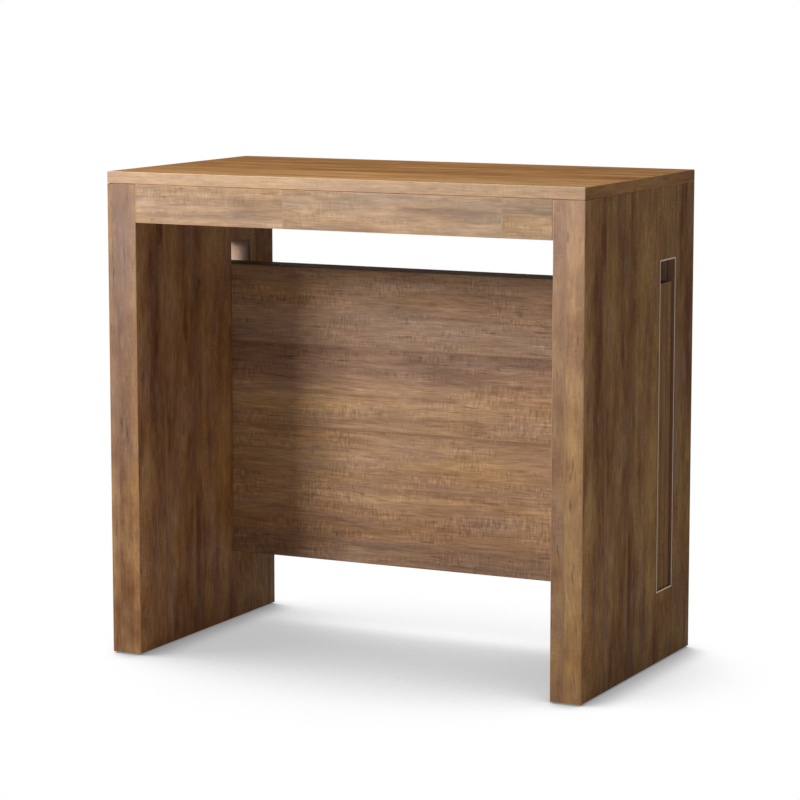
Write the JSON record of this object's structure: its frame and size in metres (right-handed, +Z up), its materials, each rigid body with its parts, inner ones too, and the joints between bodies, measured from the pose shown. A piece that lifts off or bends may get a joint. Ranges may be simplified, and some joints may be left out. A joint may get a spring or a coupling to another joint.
{
  "type": "extending console table",
  "caption": "Extending console table with slab legs, spare leaves stored on edge through slots in the legs, and a front frame that pulls out on telescopic rails.",
  "frame": {"origin": "on the floor, under the middle of the closed table's top", "axes": "+X along the width to the right as seen from the front, +Y from the front to the back, +Z up"},
  "size_m": [0.8, 0.44, 0.76],
  "materials": {
    "top_board": "satin wood-grain melamine",
    "leg_board": "satin wood-grain melamine, grain upright",
    "apron_board": "satin wood-grain melamine, grain along the width",
    "leaf_board": "satin wood-grain melamine, grain along the width",
    "trim_metal": "satin anodised",
    "rail_aluminium": "extruded, satin",
    "steel_fittings": "zinc plated",
    "glide_plastic": "moulded",
    "dowel_wood": "raw beech",
    "packer_board": "raw hardboard"
  },
  "bodies": {
    "frame": {"table_top": "top_board", "rear_board": "apron_board", "left_side_panel": "leg_board", "left_slot_trim": "trim_metal", "left_rail_packer": "packer_board", "left_fixed_rail": "rail_aluminium", "left_top_dowels": "dowel_wood", "left_rear_board_dowels": "dowel_wood", "left_middle_glide": "glide_plastic", "left_rear_glide": "glide_plastic", "right_side_panel": "leg_board", "right_slot_trim": "trim_metal", "right_rail_packer": "packer_board", "right_fixed_rail": "rail_aluminium", "right_top_dowels": "dowel_wood", "right_rear_board_dowels": "dowel_wood", "right_middle_glide": "glide_plastic", "right_rear_glide": "glide_plastic"},
    "front_frame": {"front_apron": "apron_board", "left_front_post": "leg_board", "left_end_rail": "rail_aluminium", "left_end_bracket": "steel_fittings", "left_apron_dowels": "dowel_wood", "left_front_glide": "glide_plastic", "right_front_post": "leg_board", "right_end_rail": "rail_aluminium", "right_end_bracket": "steel_fittings", "right_apron_dowels": "dowel_wood", "right_front_glide": "glide_plastic"},
    "stage_1": {"left_stage_1_rail": "rail_aluminium", "right_stage_1_rail": "rail_aluminium", "stage_1_crossbar": "steel_fittings"},
    "stage_2": {"left_stage_2_rail": "rail_aluminium", "right_stage_2_rail": "rail_aluminium", "stage_2_crossbar": "steel_fittings"},
    "stage_3": {"left_stage_3_rail": "rail_aluminium", "right_stage_3_rail": "rail_aluminium", "stage_3_crossbar": "steel_fittings"},
    "stage_4": {"left_stage_4_rail": "rail_aluminium", "right_stage_4_rail": "rail_aluminium", "stage_4_crossbar": "steel_fittings"},
    "front_leaf": {"front_leaf": "leaf_board"},
    "middle_leaf": {"middle_leaf": "leaf_board"},
    "rear_leaf": {"rear_leaf": "leaf_board"}
  },
  "joints": [
    {"name": "front_frame_slide", "type": "slide", "parent": "frame", "child": "front_frame", "axis": [0, -1, 0], "range_m": [0, 1.4334]},
    {"name": "stage_1_slide", "type": "slide", "parent": "frame", "child": "stage_1", "axis": [0, -1, 0], "range_m": [0, 0.28668]},
    {"name": "stage_2_slide", "type": "slide", "parent": "frame", "child": "stage_2", "axis": [0, -1, 0], "range_m": [0, 0.57336]},
    {"name": "stage_3_slide", "type": "slide", "parent": "frame", "child": "stage_3", "axis": [0, -1, 0], "range_m": [0, 0.86004]},
    {"name": "stage_4_slide", "type": "slide", "parent": "frame", "child": "stage_4", "axis": [0, -1, 0], "range_m": [0, 1.14672]},
    {"name": "front_leaf_slide", "type": "slide", "parent": "frame", "child": "front_leaf", "axis": [1, 0, 0], "range_m": [-0.76, 0.76]},
    {"name": "middle_leaf_slide", "type": "slide", "parent": "frame", "child": "middle_leaf", "axis": [1, 0, 0], "range_m": [-0.76, 0.76]},
    {"name": "rear_leaf_slide", "type": "slide", "parent": "frame", "child": "rear_leaf", "axis": [1, 0, 0], "range_m": [-0.76, 0.76]}
  ],
  "couplings": [
    {"joint": "stage_1_slide", "follows": "front_frame_slide", "ratio": 0.2},
    {"joint": "stage_2_slide", "follows": "front_frame_slide", "ratio": 0.4},
    {"joint": "stage_3_slide", "follows": "front_frame_slide", "ratio": 0.6},
    {"joint": "stage_4_slide", "follows": "front_frame_slide", "ratio": 0.8}
  ]
}
